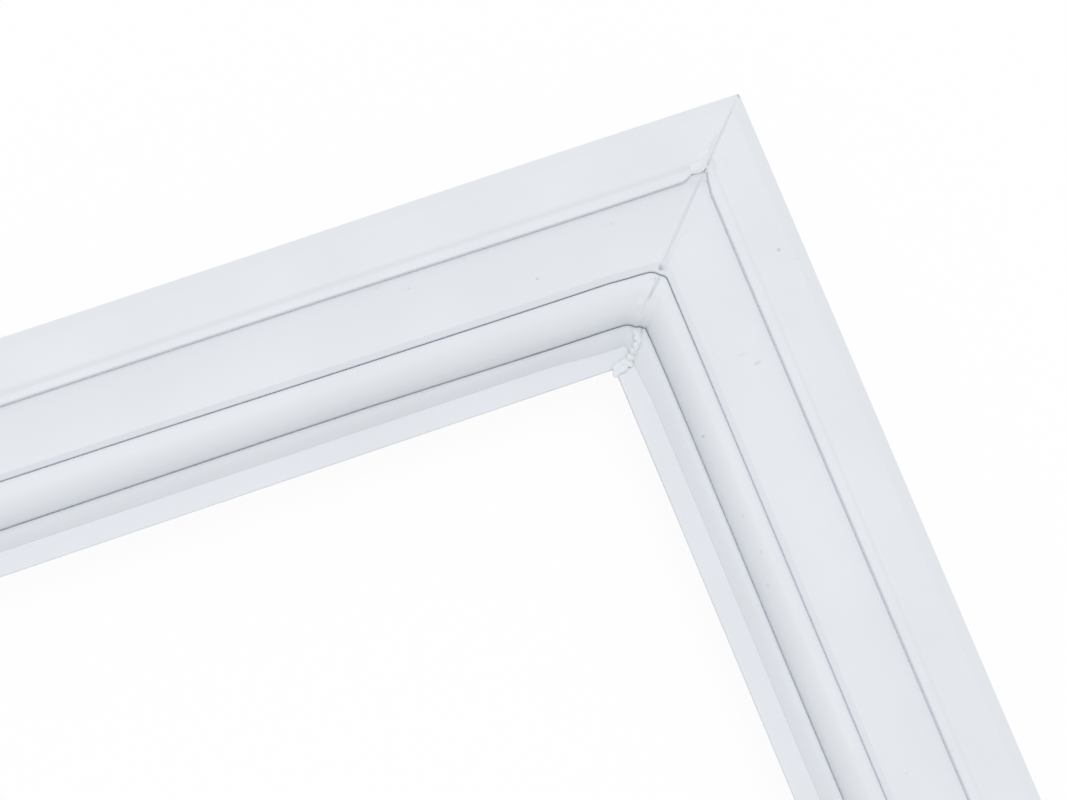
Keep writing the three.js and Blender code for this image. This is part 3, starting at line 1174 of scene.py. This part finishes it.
@dataclass
class Studio:
    """Pale floor, soft light and a camera at the photograph's angle."""

    camera_place: Vector = field(default_factory=lambda: Vector((-0.10769, 0.06456, 1.04394)))
    camera_aim: Vector = field(default_factory=lambda: Vector((0.19966, 0.30657, 0.0186)))
    camera_roll: float = 31.166
    lens: float = 202.44
    sensor: float = 36.0
    floor_size: float = 12.0
    floor_colour: Colour = (0.93, 0.93, 0.93)
    floor_glow: float = 0.94
    sky_colour: Colour = (1.0, 1.0, 1.0)
    sky_light: float = 0.8
    key_place: Vector = field(default_factory=lambda: Vector((0.5, 1.3, 3.2)))
    key_size: float = 2.2
    key_power: float = 26.0

    def build(self) -> None:
        """Set up the floor, the light and the camera."""
        self._floor()
        self._sky()
        self._key_light()
        self._camera()
        view = bpy.context.scene.view_settings
        view.view_transform = "Standard"

    def _floor(self) -> None:
        """Lay a pale floor under the part that keeps a soft shadow."""
        bpy.ops.object.select_all(action="DESELECT")
        bpy.ops.mesh.primitive_plane_add(size=self.floor_size, location=(0, 0, 0))
        floor = bpy.context.object
        floor.name = "pale_floor"
        material, sketch = new_material("pale_floor")
        plain = sketch.add("ShaderNodeBsdfDiffuse", in_Color=(*self.floor_colour, 1.0))
        glow = sketch.add("ShaderNodeEmission", in_Color=(1.0, 1.0, 1.0, 1.0))
        path = sketch.add("ShaderNodeLightPath")
        seen = sketch.math("MAXIMUM", path.outputs["Is Camera Ray"], path.outputs["Is Glossy Ray"])
        seen = sketch.math("MAXIMUM", seen, path.outputs["Is Transmission Ray"])
        share = sketch.math("MULTIPLY", seen, self.floor_glow)
        mixed = sketch.add(
            "ShaderNodeMixShader", in_0=share, in_1=plain.outputs[0], in_2=glow.outputs[0]
        )
        sketch.add("ShaderNodeOutputMaterial", in_Surface=mixed.outputs[0])
        floor.data.materials.append(material)

    def _sky(self) -> None:
        """Light everything evenly, and show white behind the part."""
        world = bpy.data.worlds.new("pale_sky")
        world.use_nodes = True
        world.node_tree.nodes.clear()
        sketch = NodeSketch(world.node_tree)
        path = sketch.add("ShaderNodeLightPath")
        seen = sketch.math(
            "MAXIMUM", path.outputs["Is Camera Ray"], path.outputs["Is Transmission Ray"]
        )
        extra = sketch.math("MULTIPLY", seen, 1.0 - self.sky_light)
        strength = sketch.math("ADD", extra, self.sky_light)
        sky = sketch.add(
            "ShaderNodeBackground", in_Color=(*self.sky_colour, 1.0), in_Strength=strength
        )
        sketch.add("ShaderNodeOutputWorld", in_Surface=sky.outputs[0])
        bpy.context.scene.world = world

    def _key_light(self) -> None:
        """Hang one large soft lamp beyond the frame's outer corner."""
        bpy.ops.object.light_add(type="AREA", location=self.key_place)
        lamp = bpy.context.object
        lamp.name = "key_lamp"
        lamp.data.size = self.key_size
        lamp.data.energy = self.key_power
        toward = self.camera_aim - self.key_place
        lamp.rotation_euler = toward.to_track_quat("-Z", "Y").to_euler()

    def _camera(self) -> None:
        """Place the camera as the photograph was taken."""
        bpy.ops.object.camera_add(location=self.camera_place)
        camera = bpy.context.object
        camera.data.lens = self.lens
        camera.data.sensor_width = self.sensor
        camera.data.clip_end = 100.0
        toward = self.camera_aim - self.camera_place
        aimed = toward.to_track_quat("-Z", "Y").to_matrix()
        rolled = aimed @ Matrix.Rotation(math.radians(self.camera_roll), 3, "Z")
        camera.rotation_euler = rolled.to_euler()
        bpy.context.scene.camera = camera


def main() -> None:
    """Build the gasket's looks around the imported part."""
    logging.basicConfig(level=logging.INFO, format="%(name)s: %(message)s")
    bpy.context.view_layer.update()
    effects = Effects.make()
    gasket = GasketFrame()
    pieces = gasket.build()
    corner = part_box(gasket.node)[1]
    melted = PvcFinish(
        name="melted_pvc", colour=(0.775, 0.805, 0.84), shade_colour=(0.74, 0.775, 0.8),
        roughness=0.28,
    )
    for piece, finish in zip(pieces, (PvcFinish(), melted)):
        piece.data.materials.clear()
        piece.data.materials.append(finish.material(effects, corner))
        log.info("%s has %d faces, finish %s", piece.name, len(piece.data.polygons), finish.name)
    MagnetStrips().dress(FerriteFinish(), effects)
    Studio().build()


if __name__ == "__main__":
    main()
